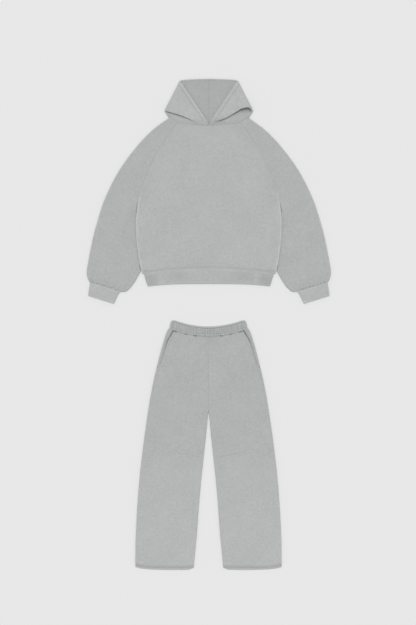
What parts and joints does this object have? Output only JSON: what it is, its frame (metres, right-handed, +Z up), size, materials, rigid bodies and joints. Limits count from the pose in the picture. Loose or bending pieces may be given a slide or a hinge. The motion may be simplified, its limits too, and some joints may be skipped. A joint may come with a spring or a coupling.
{
  "type": "tracksuit",
  "caption": "Fleece tracksuit laid flat: hooded pullover with raglan sleeves, rib cuffs and hem rib, and wide-leg trousers with a gathered waistband and slanted pockets.",
  "frame": {"origin": "on the ground, under the middle of the laid-out pair", "axes": "+Z up from the surface the garments lie on, +Y from the trouser hems towards the hood, +X towards the wearer's left, which is the picture's right"},
  "size_m": [1.0244, 2.0607, 0.017],
  "materials": {
    "fleece": "smooth face of a brushed-back fleece, light grey, matt",
    "rib": "rib knit, light grey, matt"
  },
  "bodies": {
    "root": {"pullover_front": "fleece", "pullover_back": "fleece", "sleeve_right": "fleece", "sleeve_left": "fleece", "cuff_right": "rib", "cuff_left": "rib", "hem_rib": "rib", "hood_right": "fleece", "hood_left": "fleece", "trouser_front_right": "fleece", "trouser_front_left": "fleece", "trouser_back_right": "fleece", "trouser_back_left": "fleece", "pocket_facing_right": "fleece", "pocket_facing_left": "fleece", "waistband": "fleece"}
  },
  "joints": []
}
